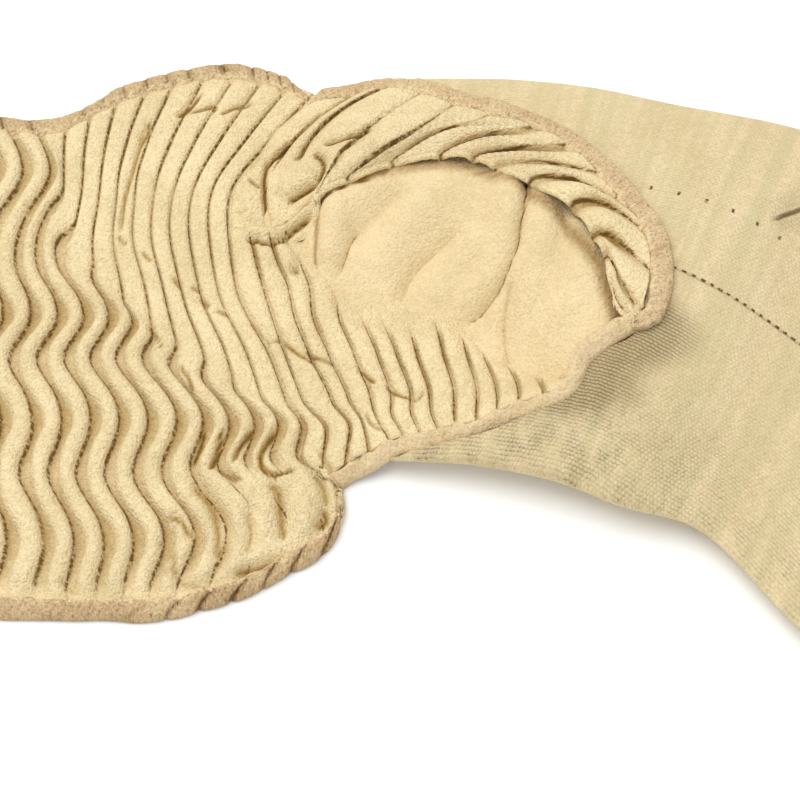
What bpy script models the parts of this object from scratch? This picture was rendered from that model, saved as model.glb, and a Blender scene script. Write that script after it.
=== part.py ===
"""Ribbed knit shrug: two compression arm sleeves joined by a back panel, lying flat with its front up.

Tables and sizes are in millimetres, and MM makes them metres. +X runs along the right arm, +Y to the neck
and +Z up. The origin is at the middle of the underside's outline.
"""

import math

import bmesh
import bpy
from mathutils import Matrix, Vector

MM = 0.001
GARMENT = "compression_sleeve_shrug"

# Cloth
GROOVE = 1.4  # knit between two ribs
CREST = 3.2  # knit on a rib
PLAIN = 1.8  # plain knit of the sleeves
CUFF_WALL = 2.4
EDGE_WIDTH = 5.5  # overlocked edge
EDGE_WALL = 2.2
EDGE_START = 0.1  # ribs between the end of the neck edge and the armhole's edge
GAP = 0.3  # between pieces at a seam
BESIDE = 0.9  # across the ribs, between the panel and what is sewn to its sides
FOLD_AIR = 0.6  # between a sleeve and the band turned back over it

# Back panel: ribs from the centre back to each armhole, and the wave that runs across them
RIBS = 16
WAVE = 3.3
WAVE_LENGTH = 36.5
WAVE_BEND = 28.0  # y of a bend towards +X
WAVE_FADE = 14.0

# Ribs of the right half. Columns: y, x of rib 6, x of rib 11, x of rib 16
RIB_LINES = (
    (-72, 68, 106, 151),
    (-42, 62, 104, 151),
    (-30, 60, 101, 149),
    (-20, 58, 99, 137),
    (-5, 55, 97, 133),
    (15, 52, 92, 126),
    (35, 51, 88, 116),
    (55, 51, 82, 112),
    (75, 53, 82, 112),
    (95, 51, 84, 123),
    (118, 51, 90, 139),
)
# Outer lines of the right half. Columns: x, y
NECK = ((0, 101), (36, 102), (55, 103), (77, 116), (106, 125), (139, 116), (152, 112))
HEM = ((0, -70), (54, -70), (99, -71), (120, -65), (131, -58), (147, -44), (153, -34))
# The straight ribs give way to waves below this line. Columns: x, y
WAVE_TOP = ((0, 150), (48, 150), (60, 59), (74, 38), (99, 17), (127, -1), (152, -4))

# Right sleeve, flat and a little full. Columns: way along, centre x, centre y, turn in degrees, width, height
SLEEVE = (
    (112, 112, 60, 0, 120, 5),
    (136, 136, 47, 0, 139, 10),
    (165, 165, 46, -3, 140, 16),
    (200, 200, 42, -12, 141, 24),
    (235, 234, 33, -20, 140, 27),
    (260, 259, 24, -24, 146, 25),
    (290, 286, 12, -27, 149, 18),
    (335, 325, -22, -32, 148, 14),
    (400, 380, -57, -34, 124, 13),
    (460, 430, -91, -34, 98, 12),
    (505, 468, -116, -34, 78, 11),
)
LOW = 0.42  # height of a sleeve's side folds, as a share of its own height
CUFF_START = 478
CUFF_END = 505
CUFF_DRAW = 0.96  # the cuff grips a little closer than the sleeve
# Sleeve mouth. Columns: degrees round the section from the upper fold, way along
MOUTH = (
    (-180, 168), (-160, 160), (-140, 150), (-120, 142), (-90, 141), (-60, 141), (-45, 146), (-30, 162),
    (-15, 173), (0, 177), (30, 175), (50, 179), (62, 188), (72, 203), (85, 225), (94, 234), (104, 242),
    (112, 244), (120, 236), (133, 234), (144, 219), (154, 205), (164, 180), (172, 171), (180, 168),
)
SLEEVE_SIDES = 20
SLEEVE_RINGS = 10
CUFF_RINGS = 3
DROOP_FROM = 262  # past here an arm may hang lower than the other

# Band turned back round the armhole, one row a rib from the panel's last rib. Columns: rib, inner x, y, middle x, y, outer x, y
BAND = (
    (1, 121, 52, 126, 84, 147, 110),
    (2, 130, 49, 137, 86, 159, 110),
    (3, 139, 44, 145, 86, 171, 104),
    (4, 152, 79, 163, 87, 181, 97),
    (5, 166, 77, 176, 84, 191, 91),
    (6, 178, 74, 189, 79, 205, 83),
    (7, 192, 71, 204, 73, 216, 74),
    (8, 204, 61, 215, 62, 224, 63),
    (9, 214, 51, 222, 52, 230, 52),
    (10, 219, 41, 227, 43, 235, 43),
    (11, 224, 32, 231, 34, 237, 34),
    (12, 227, 22, 232, 23, 238, 23),
    (13, 228, 12, 232, 12, 235, 12),
)
BAND_RISE = 3  # ribs over which the band climbs from the panel to the sleeve
# Gusset under the arm, one row a rib. Columns: rib, inner x, y, middle x, y, rim x, y, rim height
GUSSET = (
    (1, 121, 50, 131, 13, 149, -28, 2),
    (2, 129, 47, 138, 12, 152, -24, 3),
    (3, 138, 41, 145, 9, 156, -21, 5),
    (4, 143, 35, 152, 8, 162, -19, 8),
    (5, 150, 33, 158, 8, 167, -18, 9),
    (6, 158, 30, 164, 6, 171, -18, 10),
    (7, 167, 26, 170, 5, 176, -17, 11),
    (8, 175, 23, 178, 4, 181, -16, 12),
    (9, 182, 20, 185, 3, 187, -15, 13),
    (10, 189, 18, 191, 2, 193, -13, 15),
    (11, 197, 15, 198, 1, 199, -11, 17),
    (12, 204, 11, 205, 0, 206, -10, 20),
    (13, 210, 8, 211, 1, 212, -7, 23),
    (14, 216, 8, 216, 5, 217, 2, 25),
    (15, 225, 12, 225, 11, 226, 9, 27),
)
GUSSET_STEP = (132, 140)  # x over which the gusset climbs on to the sleeve's back layer

# Columns: side, sign of x, droop in degrees
ARMS = (("right", 1, 0.0), ("left", -1, 3.0))


def read(table, at):
    """The other columns of a table at a value of its first column, smooth from row to row."""
    last = len(table) - 1
    low = max(n for n in range(last) if n == 0 or table[n][0] <= at)
    start, end = table[low], table[low + 1]
    span = end[0] - start[0]
    t = min(max((at - start[0]) / span, 0.0), 1.0)
    values = []
    for column in range(1, len(start)):
        slopes = []
        for n in (low, low + 1):
            before, after = table[max(n - 1, 0)], table[min(n + 1, last)]
            slopes.append((after[column] - before[column]) / (after[0] - before[0]) * span)
        rise = end[column] - start[column]
        bend = slopes[0] + slopes[1] - 2 * rise
        ease = 3 * rise - 2 * slopes[0] - slopes[1]
        values.append(start[column] + t * (slopes[0] + t * (ease + t * bend)))
    return values


def smooth_step(t):
    t = min(max(t, 0.0), 1.0)
    return t * t * (3 - 2 * t)


def rib_height(rib):
    """Knit thickness across the ribs: whole numbers are grooves."""
    return GROOVE + (CREST - GROOVE) * abs(math.sin(math.pi * rib))


# ---------------------------------------------------------------- building blocks


def clear_scene():
    for item in list(bpy.data.objects):
        bpy.data.objects.remove(item, do_unlink=True)


def knit(name, colour, roughness):
    """Matt elastic knit."""
    material = bpy.data.materials.new(name)
    material.use_nodes = True
    shader = material.node_tree.nodes["Principled BSDF"]
    shader.inputs["Base Color"].default_value = (*colour, 1)
    shader.inputs["Roughness"].default_value = roughness
    shader.inputs["Metallic"].default_value = 0
    return material


def add_object(name, shape, material):
    mesh = bpy.data.meshes.new(name)
    shape.to_mesh(mesh)
    shape.free()
    mesh.materials.append(material)
    mesh.shade_smooth()
    item = bpy.data.objects.new(name, mesh)
    bpy.data.collections[GARMENT].objects.link(item)
    return item


def slab(name, columns, rows, faces_at, material):
    """A cloth panel: a grid extruded once, with its two faces at the points that faces_at(u, v) gives."""
    shape = bmesh.new()
    bmesh.ops.create_grid(shape, x_segments=columns, y_segments=rows, size=0.5)
    made = bmesh.ops.extrude_face_region(shape, geom=shape.faces[:])
    raised = {part for part in made["geom"] if isinstance(part, bmesh.types.BMVert)}
    for vert in shape.verts:
        top, bottom = faces_at(vert.co.x + 0.5, vert.co.y + 0.5)
        vert.co = Vector(top if vert in raised else bottom) * MM
    bmesh.ops.recalc_face_normals(shape, faces=shape.faces[:])
    return add_object(name, shape, material)


# ---------------------------------------------------------------- back panel


def rib_x(rib, y):
    """x of a rib of the back panel at a height y, before the wave."""
    sixth, eleventh, last = read(RIB_LINES, y)
    near = abs(rib)
    if near <= 6:
        x = sixth * near / 6
    elif near <= 11:
        x = sixth + (eleventh - sixth) * (near - 6) / 5
    else:
        x = eleventh + (last - eleventh) * (near - 11) / 5
    return math.copysign(x, rib)


def wave(rib, x, y):
    """The sideways wave of the ribs, which dies out above WAVE_TOP and at the armholes."""
    below = smooth_step((read(WAVE_TOP, abs(x))[0] - y) / WAVE_FADE)
    inside = smooth_step((RIBS - abs(rib)) / 2)
    return WAVE * below * inside * math.cos(math.tau * (y - WAVE_BEND) / WAVE_LENGTH)


def panel_ends(rib):
    """y of the neck edge and of the hem at a rib."""
    neck = read(NECK, abs(rib_x(rib, 115)))[0]
    hem_guess = -60 + 25 * smooth_step((abs(rib) - 12) / 4)
    hem = read(HEM, abs(rib_x(rib, hem_guess)))[0]
    return neck, hem


def panel_point(rib, y):
    x = rib_x(rib, y)
    return x + wave(rib, x, y), y


def back_panel(material):
    def faces_at(u, v):
        rib = RIBS * (2 * u - 1)
        neck, hem = panel_ends(rib)
        low = hem + EDGE_WIDTH + GAP
        high = neck - EDGE_WIDTH - GAP
        x, y = panel_point(rib, low + (high - low) * v)
        return (x, y, rib_height(rib)), (x, y, 0)

    return slab("back_panel", 4 * RIBS, 20, faces_at, material)


def panel_edge(name, side, material):
    """The overlocked edge along the panel's neck (side 1) or hem (side -1)."""

    def faces_at(u, v):
        rib = RIBS * (2 * u - 1)
        neck, hem = panel_ends(rib)
        outer = neck if side > 0 else hem
        x, _ = panel_point(rib, outer - side * EDGE_WIDTH)
        y = outer - side * EDGE_WIDTH * (1 - v)
        puff = 0.5 * abs(math.sin(math.pi * rib))
        return (x, y, GAP + EDGE_WALL + puff), (x, y, GAP)

    return slab(name, 4 * RIBS, 1, faces_at, material)


# ---------------------------------------------------------------- sleeves


def sleeve_section(along):
    x, y, turn, width, height = read(SLEEVE, along)
    return Vector((x, y)), math.radians(turn), width, height


def sleeve_point(along, angle, arm, draw=1.0):
    """A point of the outer face of a sleeve, on an arm's row of ARMS."""
    _, sign, droop = arm
    centre, turn, width, height = sleeve_section(along)
    across = Vector((-math.sin(turn), math.cos(turn)))
    place = centre + across * (width / 2 * draw * math.cos(angle))
    hinge = Vector(read(SLEEVE, DROOP_FROM)[:2])
    fall = math.radians(-droop) * smooth_step((along - DROOP_FROM) / 60)
    place = hinge + Matrix.Rotation(fall, 2) @ (place - hinge)
    z = height * (LOW + (1 - LOW) * math.sin(angle))
    return Vector((sign * place.x, place.y, max(z, 0)))


def tube(name, start_at, end, rings, wall, arm, draw, material):
    """A length of sleeve as an open tube of cloth, from start_at(angle) to end along the arm."""
    shape = bmesh.new()
    bmesh.ops.create_grid(shape, x_segments=SLEEVE_SIDES, y_segments=rings, size=0.5)
    for vert in shape.verts:
        angle = math.tau * vert.co.x
        start = start_at(math.degrees(angle))
        along = start + (end - start) * (vert.co.y + 0.5)
        vert.co = sleeve_point(along, angle, arm, draw) * MM
    bmesh.ops.remove_doubles(shape, verts=shape.verts[:], dist=0.01 * MM)
    shape.normal_update()
    upper = [face for face in shape.faces if face.calc_center_median().z > CUFF_WALL * MM]
    if sum(face.normal.z * face.calc_area() for face in upper) < 0:
        bmesh.ops.reverse_faces(shape, faces=shape.faces[:])
    item = add_object(name, shape, material)
    cloth = item.modifiers.new("cloth", "SOLIDIFY")
    cloth.thickness = wall * MM
    cloth.offset = -1
    return item


def sleeve(arm, material):
    def mouth(angle):
        return read(MOUTH, angle)[0]

    return tube(f"sleeve_{arm[0]}", mouth, CUFF_START - GAP, SLEEVE_RINGS, PLAIN, arm, 1.0, material)


def cuff(arm, material):
    def start(angle):
        return CUFF_START

    return tube(f"cuff_{arm[0]}", start, CUFF_END, CUFF_RINGS, CUFF_WALL, arm, CUFF_DRAW, material)


def sleeve_layers(x, y):
    """Heights of the sleeve's lower and upper outer faces over a point of the surface it lies on."""
    here = Vector((x, y))
    best = None
    for step in range(SLEEVE[0][0], CUFF_START):
        centre, turn, width, height = sleeve_section(step)
        away = abs((here - centre).dot(Vector((math.cos(turn), math.sin(turn)))))
        if best is None or away < best[0]:
            side = (here - centre).dot(Vector((-math.sin(turn), math.cos(turn)))) / (width / 2)
            best = away, side, height
        elif away > best[0] + 5:
            break
    _, side, height = best
    swell = (1 - LOW) * math.sqrt(max(1 - side * side, 0))
    return max(height * (LOW - swell), 0), height * (LOW + swell)


# ---------------------------------------------------------------- bands round the armholes


def along_fold(row, v):
    """A point at v along a fold whose row gives three points."""
    ends = 2 * (v - 0.5) * (v - 1), 4 * v * (1 - v), 2 * v * (v - 0.5)
    return (
        sum(share * value for share, value in zip(ends, row[0:6:2])),
        sum(share * value for share, value in zip(ends, row[1:6:2])),
    )


def band_row(rib):
    """Three points of a fold of the band. Rib 0 follows the last rib of the panel."""
    return read(BAND, rib) if rib >= 1 else beside_panel(rib, (57, 84, 110), read(BAND, 1))


def beside_panel(rib, heights, first):
    """A row between the panel's last rib, at three values of y, and the first row of a table."""
    panel = [value for y in heights for value in (rib_x(RIBS, y) + BESIDE, y)] + [1]
    return [a + (b - a) * rib for a, b in zip(panel, first)]


def band_base(rib, x, y):
    """Height of the underside of the turned-back band."""
    climb = smooth_step(rib / BAND_RISE)
    return GAP + climb * (sleeve_layers(x, y)[1] + FOLD_AIR)


def outward_of(row_at, rib, turn):
    """The direction, across the surface, in which an edge strip leaves the rim of its folds."""
    before = Vector(along_fold(row_at(max(rib - 0.1, 0)), 1))
    after = Vector(along_fold(row_at(rib + 0.1), 1))
    ahead = after - before
    return Vector((-turn * ahead.y, turn * ahead.x)).normalized()


def shoulder_band(arm, material):
    side, sign, _ = arm

    def faces_at(u, v):
        rib = u * BAND[-1][0]
        x, y = along_fold(band_row(rib), v)
        if rib == 0:
            y = 57 + 53 * v
            x = rib_x(RIBS, y) + BESIDE
        base = band_base(rib, x, y)
        return (sign * x, y, base + rib_height(rib)), (sign * x, y, base)

    return slab(f"shoulder_band_{side}", 2 * BAND[-1][0], 5, faces_at, material)


def band_edge(arm, material):
    """The overlocked outer edge of the turned-back band."""
    side, sign, _ = arm

    def faces_at(u, v):
        rib = EDGE_START + u * (BAND[-1][0] - EDGE_START)
        rim = Vector(along_fold(band_row(rib), 1))
        x, y = rim + outward_of(band_row, rib, 1) * (GAP + EDGE_WIDTH * v)
        base = band_base(rib, x, y)
        return (sign * x, y, base + EDGE_WALL), (sign * x, y, base)

    return slab(f"armhole_edge_{side}", 28, 1, faces_at, material)


def gusset_row(rib):
    """Three points of a fold of the gusset and its rim height. Rib 0 follows the last rib of the panel."""
    return read(GUSSET, rib) if rib >= 1 else beside_panel(rib, (56, 15, -32), read(GUSSET, 1))


def gusset_base(row, x, y, v):
    """Height of the gusset's underside: it climbs from the back layer to the rim of the armhole."""
    floor = (PLAIN + GAP) * smooth_step((x - GUSSET_STEP[0]) / (GUSSET_STEP[1] - GUSSET_STEP[0]))
    lower = sleeve_layers(x, y)[0] + PLAIN + GAP if x > GUSSET_STEP[1] else 0
    return max(floor + (row[6] - floor) * v**1.5, lower)


def gusset(arm, material):
    side, sign, _ = arm

    def faces_at(u, v):
        rib = u * GUSSET[-1][0]
        row = gusset_row(rib)
        if rib == 0:
            y = 56 - 88 * v
            x = rib_x(RIBS, y) + BESIDE
        else:
            x, y = along_fold(row, v)
        base = gusset_base(row, x, y, v)
        return (sign * x, y, base + rib_height(rib)), (sign * x, y, base)

    return slab(f"underarm_gusset_{side}", 2 * GUSSET[-1][0], 7, faces_at, material)


def gusset_edge(arm, material):
    """The overlocked rim of the gusset, at the lower side of the armhole."""
    side, sign, _ = arm

    def faces_at(u, v):
        rib = u * GUSSET[-1][0]
        row = gusset_row(rib)
        rim = Vector(along_fold(row, 1))
        x, y = rim + outward_of(gusset_row, rib, -1) * (GAP + EDGE_WIDTH * v)
        base = max(row[6], sleeve_layers(x, y)[1] + 2 * FOLD_AIR) if x > GUSSET_STEP[1] else row[6]
        return (sign * x, y, base + EDGE_WALL), (sign * x, y, base)

    return slab(f"underarm_edge_{side}", 24, 1, faces_at, material)


# ---------------------------------------------------------------- the garment


def centre_on_origin(items):
    """Puts the middle of the underside's outline at the origin, with the lowest point on z = 0."""
    bpy.context.view_layer.update()
    corners = [item.matrix_world @ Vector(corner) for item in items for corner in item.bound_box]
    middle = [(min(c[n] for c in corners) + max(c[n] for c in corners)) / 2 for n in (0, 1)]
    shift = Matrix.Translation((-middle[0], -middle[1], -min(c.z for c in corners)))
    for item in items:
        item.data.transform(shift)


def build():
    clear_scene()
    bpy.context.scene.collection.children.link(bpy.data.collections.new(GARMENT))
    ribbed = knit("ribbed_knit", (0.73, 0.60, 0.36), 0.9)
    plain = knit("plain_knit", (0.77, 0.65, 0.40), 0.88)
    overlock = knit("overlock_thread", (0.62, 0.47, 0.30), 0.92)
    cuff_knit = knit("cuff_knit", (0.72, 0.59, 0.36), 0.9)
    items = [
        back_panel(ribbed),
        panel_edge("neck_edge", 1, overlock),
        panel_edge("hem_edge", -1, overlock),
    ]
    for arm in ARMS:
        items.append(sleeve(arm, plain))
        items.append(cuff(arm, cuff_knit))
        items.append(shoulder_band(arm, ribbed))
        items.append(band_edge(arm, overlock))
        items.append(gusset(arm, ribbed))
        items.append(gusset_edge(arm, overlock))
    centre_on_origin(items)


build()
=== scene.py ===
"""Ribbed knit shrug lying flat: two compression arm sleeves joined by a ribbed back panel.

Lengths are in millimetres until on_table() makes them metres in the frame's own place.
"""

import math
from functools import partial

import bmesh
import bpy
import numpy as np
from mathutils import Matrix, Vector


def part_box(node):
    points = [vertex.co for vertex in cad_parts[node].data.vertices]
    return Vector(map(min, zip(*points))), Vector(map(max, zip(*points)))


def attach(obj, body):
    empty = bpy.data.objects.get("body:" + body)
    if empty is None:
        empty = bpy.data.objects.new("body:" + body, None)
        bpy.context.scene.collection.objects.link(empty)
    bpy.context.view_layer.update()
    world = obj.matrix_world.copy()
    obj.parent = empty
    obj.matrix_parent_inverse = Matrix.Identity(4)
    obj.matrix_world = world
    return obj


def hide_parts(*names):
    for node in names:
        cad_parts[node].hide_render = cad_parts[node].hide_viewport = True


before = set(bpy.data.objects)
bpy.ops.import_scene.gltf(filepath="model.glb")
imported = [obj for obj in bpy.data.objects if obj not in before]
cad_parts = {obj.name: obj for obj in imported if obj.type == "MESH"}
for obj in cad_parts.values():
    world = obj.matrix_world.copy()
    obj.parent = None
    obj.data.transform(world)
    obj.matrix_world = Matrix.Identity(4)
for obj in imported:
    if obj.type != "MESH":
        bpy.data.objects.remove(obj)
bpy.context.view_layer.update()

# ---------------------------------------------------------------- table, lamp and camera
# The garment lies on a white table with its front up, in broad soft light. One large lamp stands to the left
# behind the neck edge, so the folds in the armhole show and the lower edges throw a soft grey shadow.

MM = 0.001
PANEL_TOP = 119.1  # y of the panel's cut edge at its highest
TABLE_WHITE = (0.97, 0.97, 0.97, 1)
ROOM_LIGHT = 0.84
LAMP_SIZE = 1.2
LAMP_POWER = 13.5
LAMP_COLOUR = (1, 0.985, 0.96)
panel_low, panel_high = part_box("back_panel")
SHIFT = np.array(((panel_low.x + panel_high.x) / 2, panel_high.y - PANEL_TOP * MM, 0))


def on_table(x, y, z):
    """Points in metres, from millimetres measured from the centre back."""
    return np.stack((x, y, z), axis=-1) * MM + SHIFT


def aim(item, place, target):
    """Puts a lamp or a camera in its place and turns it to a target."""
    place, target = Vector(place), Vector(target)
    item.location = place
    item.rotation_euler = (target - place).to_track_quat("-Z", "Y").to_euler()
    bpy.context.scene.collection.objects.link(item)


table_shape = bmesh.new()
bmesh.ops.create_grid(table_shape, x_segments=1, y_segments=1, size=6)
table_mesh = bpy.data.meshes.new("table")
table_shape.to_mesh(table_mesh)
table_shape.free()
table = bpy.data.objects.new("table", table_mesh)
bpy.context.scene.collection.objects.link(table)
table_paint = bpy.data.materials.new("table_white")
table_paint.use_nodes = True
table_shader = table_paint.node_tree.nodes["Principled BSDF"]
table_shader.inputs["Base Color"].default_value = TABLE_WHITE
table_shader.inputs["Roughness"].default_value = 0.9
table_mesh.materials.append(table_paint)

lens = bpy.data.cameras.new("camera")
lens.lens = 85
lens.sensor_width = 36
lens.clip_end = 50
camera = bpy.data.objects.new("camera", lens)
aim(camera, on_table(165, -280, 485), on_table(165, 0, 0))
bpy.context.scene.camera = camera

softbox = bpy.data.lights.new("key_lamp", "AREA")
softbox.shape = "SQUARE"
softbox.size = LAMP_SIZE
softbox.energy = LAMP_POWER
softbox.color = LAMP_COLOUR
aim(bpy.data.objects.new("key_lamp", softbox), (-0.4, 0.34, 1.4), (0.12, 0, 0))
room = bpy.data.worlds.new("room")
room.use_nodes = True
room.node_tree.nodes["Background"].inputs["Color"].default_value = (1, 1, 1, 1)
room.node_tree.nodes["Background"].inputs["Strength"].default_value = ROOM_LIGHT
bpy.context.scene.world = room
bpy.context.scene.view_settings.view_transform = "Standard"

# ---------------------------------------------------------------- back panel
# Thick elastic knit whose hollow ribs stand up in rows. They run from the neck to the hem, lean towards the
# shoulders at the top and wave from side to side lower down. It is knitted in one piece, shown inner face up.

RIBS = 16  # ribs on each side of the centre back
GROOVE = 1.25  # height of the cloth in a groove
RELIEF = 3.4  # height of a rib over its grooves
RIB_WALL = 1.1
EDGE_WIDTH = 5.5  # width of an overlocked edge
COVERED = 0.6 * EDGE_WIDTH  # how far an overlock covers the panel
TUCK = 0.8  # ribs that pass under the bands and gussets knitted on to it
LEFT_SHARE = 0.375  # share of the grid's columns that lie left of the centre back
WAVE = 3.4  # how far a rib waves to each side
# Ribs of the right half. Columns: y, x of rib 6, x of rib 11, x of rib 16
RIB_LINES = (
    (-72, 68, 106, 151), (-42, 62, 104, 151), (-30, 60, 101, 149), (-20, 58, 99, 137), (-5, 55, 97, 133),
    (15, 52, 92, 126), (35, 51, 88, 116), (55, 51, 82, 112), (75, 53, 82, 112), (95, 51, 84, 123),
    (118, 51, 90, 139),
)
# Outer lines of the right half. Columns: x, y
NECK = (
    (0, 103.5), (20, 105.5), (36, 105), (50, 103), (60, 106), (77, 117.5), (106, 126.5), (139, 117),
    (152, 112),
)
HEM = ((0, -70), (54, -70), (99, -71), (120, -65), (131, -58), (147, -44), (153, -34))
# The straight ribs give way to waves below this line. Columns: x, y
WAVE_TOP = ((0, 150), (42, 150), (53, 104), (64, 62), (80, 36), (99, 19), (127, 1), (152, -3))
# Distance over which the waves grow. Columns: x, distance
WAVE_FADE = ((0, 40), (45, 40), (60, 14), (152, 10))
# Bends of the wave. Columns: y, side (1 is away from the centre back)
BENDS = (
    (121, 1), (104, -1), (84, 1), (65, -1), (47, -1), (28, 1), (11, -1), (-9, 1), (-27, -1), (-46, 0.9),
    (-62, -0.5), (-80, 0),
)
# Valleys between waving ribs. Columns: y, share of the pitch, darkness of the shade painted in the valley
VALLEYS = (
    (-75, 0.28, 0.25), (-62, 0.34, 0.45), (-54, 0.28, 0.85), (-46, 0.38, 1.05), (-37, 0.15, 1.1),
    (-27, 0.34, 0.75), (-18, 0.28, 1.0), (-9, 0.40, 1.15), (1, 0.13, 1.1), (11, 0.35, 0.75),
    (19, 0.28, 1.0), (28, 0.40, 1.15), (38, 0.14, 1.1), (47, 0.33, 0.75), (65, 0.36, 0.75), (75, 0.26, 1.0),
    (84, 0.36, 1.0), (94, 0.17, 1.0), (104, 0.28, 0.7), (118, 0.25, 0.7),
)
VALLEY_OUT = 0.62  # share of a valley that lies on the far side of its line
FAN_GAP = 0.085  # share of the pitch that the grooves between straight ribs take


def read(rows, at):
    """The other columns of a table at values of its first column, smooth from row to row."""
    rows = np.array(rows, float)
    keys = rows[:, 0]
    last = len(rows) - 1
    at = np.clip(at, keys[0], keys[-1])
    low = np.clip(np.searchsorted(keys, at, side="right") - 1, 0, last - 1)
    span = (keys[low + 1] - keys[low])[..., None]
    part = (at - keys[low])[..., None] / span

    def slope(row):
        before, after = np.maximum(row - 1, 0), np.minimum(row + 1, last)
        return (rows[after] - rows[before]) / (keys[after] - keys[before])[..., None] * span

    leave, arrive = slope(low), slope(low + 1)
    rise = rows[low + 1] - rows[low]
    ease = 3 * rise - 2 * leave - arrive
    values = rows[low] + part * (leave + part * (ease + part * (leave + arrive - 2 * rise)))
    return np.moveaxis(values[..., 1:], -1, 0)


def smooth_step(part):
    """0 up to 0, 1 from 1 on, smooth between."""
    part = np.clip(part, 0, 1)
    return part * part * (3 - 2 * part)


def onset(value, start, length):
    """0 up to start, 1 from a length past it on."""
    return smooth_step((value - start) / length)


def falloff(value, start, length):
    """1 up to start, 0 from a length past it on."""
    return 1 - onset(value, start, length)


def bell(distance, width):
    """1 at no distance, and about a third at one width."""
    return np.exp(-((distance / width) ** 2))


LATTICE = 64  # random values along each side of a lattice that repeats


def uneven(x, y, size, seed):
    """Slow random change over a surface, from -1 to 1, over patches of about the given size."""
    lattice = np.random.default_rng(seed).uniform(-1, 1, (LATTICE, LATTICE))
    across, along = np.asarray(x) / size + 20, np.asarray(y) / size + 20
    column, row = np.floor(across).astype(int), np.floor(along).astype(int)
    right, up = smooth_step(across - column), smooth_step(along - row)

    def corner(step_x, step_y):
        return lattice[(column + step_x) % LATTICE, (row + step_y) % LATTICE]

    lower = corner(0, 0) * (1 - right) + corner(1, 0) * right
    upper = corner(0, 1) * (1 - right) + corner(1, 1) * right
    return lower * (1 - up) + upper * up


def way_to_line(x, y, points):
    """Distance from each place to a line of a few points, and the share of the way along it."""
    points = np.array(points, float)
    steps = np.hypot(*np.diff(points, axis=0).T)
    run = np.concatenate(([0], np.cumsum(steps))) / steps.sum()
    best = np.full(np.shape(x), np.inf)
    share = np.zeros(np.shape(x))
    for number, (start, end) in enumerate(zip(points, points[1:])):
        way = end - start
        part = np.clip(((x - start[0]) * way[0] + (y - start[1]) * way[1]) / (way @ way), 0, 1)
        far = np.hypot(x - start[0] - part * way[0], y - start[1] - part * way[1])
        nearer = far < best
        best = np.where(nearer, far, best)
        share = np.where(nearer, run[number] + part * (run[number + 1] - run[number]), share)
    return best, share


def bent(line, count=9):
    """Points of a smooth line through a few points, given as x, y, x, y and so on."""
    points = np.reshape(line, (-1, 2))
    rows = np.column_stack((np.arange(len(points)), points))
    return np.array(read(rows, np.linspace(0, len(points) - 1, count))).T


END_SLOPE, END_START = 6, 0.35  # a crease fades in over about a tenth of its length at each end
DARK_WIDTH = 0.7  # the dark line in a crease is narrower than its dip


def creases(x, y, rows):
    """Depth of soft creases over a surface, and darkness of the shade painted along them. Each row gives
    depth, half width, darkness of the painted shade, and the x, y, x, y of one or more lines. A negative
    depth is a ridge."""
    depth = np.zeros(np.shape(x))
    dark = np.zeros(np.shape(x))
    for deep, width, shade, *lines in rows:
        for line in lines:
            far, share = way_to_line(x, y, bent(line))
            ends = smooth_step(share * END_SLOPE + END_START)
            ends = ends * smooth_step((1 - share) * END_SLOPE + END_START)
            depth += deep * ends * bell(far, width)
            dark = np.maximum(dark, shade * ends * bell(far, DARK_WIDTH * width))
    return depth, dark


def rib_profile(rib, gap, power, lean=1.0):
    """Height of a rib from 0 in its valleys to 1 on top, and the way across a valley from 0 to 1."""
    place = np.abs(rib) - np.floor(np.abs(rib))
    across = np.clip((place - gap * VALLEY_OUT) / (1 - gap), 0, 1) ** lean
    height = np.maximum(1 - np.abs(2 * across - 1) ** power, 0) ** 0.5
    past = np.where(place > 0.5, place - 1, place) + gap * (1 - VALLEY_OUT)
    return height, np.clip(past / gap, 0, 1)


def spread_columns(rib):
    """Moves the columns of a grid towards the grooves, where the cloth bends most."""
    return rib - 0.08 * np.sin(math.tau * rib)


UPPER_LAYER = 4  # height over which a face belongs to a tube's upper layer


def cloth_grid(name, columns, rows, lay, materials, wall, seam=False):
    """A cloth piece from one grid. lay(u, v) gives x, y, z, the groove share of painted shade and knit
    coordinates at its corners. seam closes the grid to a tube. The last material is on the inner face."""
    shape = bmesh.new()
    bmesh.ops.create_grid(shape, x_segments=columns, y_segments=rows, size=0.5)
    corners = np.array([vert.co[:2] for vert in shape.verts]) + 0.5
    x, y, z, groove, knit_x, knit_y = lay(corners[:, 0], corners[:, 1])
    # The groove attribute holds the shade painted into grooves, creases and nicks, which the materials darken
    # by
    mark = shape.verts.layers.float.new("groove")
    knit = shape.loops.layers.uv.new("knit")
    for vert, point, share in zip(shape.verts, on_table(x, y, z), groove):
        vert.co = point
        vert[mark] = share
    for face in shape.faces:
        for loop in face.loops:
            number = loop.vert.index
            loop[knit].uv = (knit_x[number], knit_y[number])
    if seam:
        bmesh.ops.remove_doubles(shape, verts=shape.verts[:], dist=0.01 * MM)
    shape.normal_update()
    upper = [face for face in shape.faces if not seam or face.calc_center_median().z > UPPER_LAYER * MM]
    if sum(face.normal.z * face.calc_area() for face in upper) < 0:
        bmesh.ops.reverse_faces(shape, faces=shape.faces[:])
    mesh = bpy.data.meshes.new(name)
    shape.to_mesh(mesh)
    shape.free()
    for material in materials:
        mesh.materials.append(material)
    mesh.shade_smooth()
    item = bpy.data.objects.new(name, mesh)
    bpy.context.scene.collection.objects.link(item)
    cloth = item.modifiers.new("wall", "SOLIDIFY")
    cloth.thickness = wall * MM
    cloth.offset = -1
    cloth.material_offset = len(materials) - 1
    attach(item, "root")
    return item


def paint(red, green, blue):
    """A colour from its 0 to 255 values."""
    shares = np.array((red, green, blue)) / 255
    linear = np.where(shares > 0.04, ((shares + 0.055) / 1.055) ** 2.4, shares / 12.92)
    return (*linear, 1)


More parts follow.
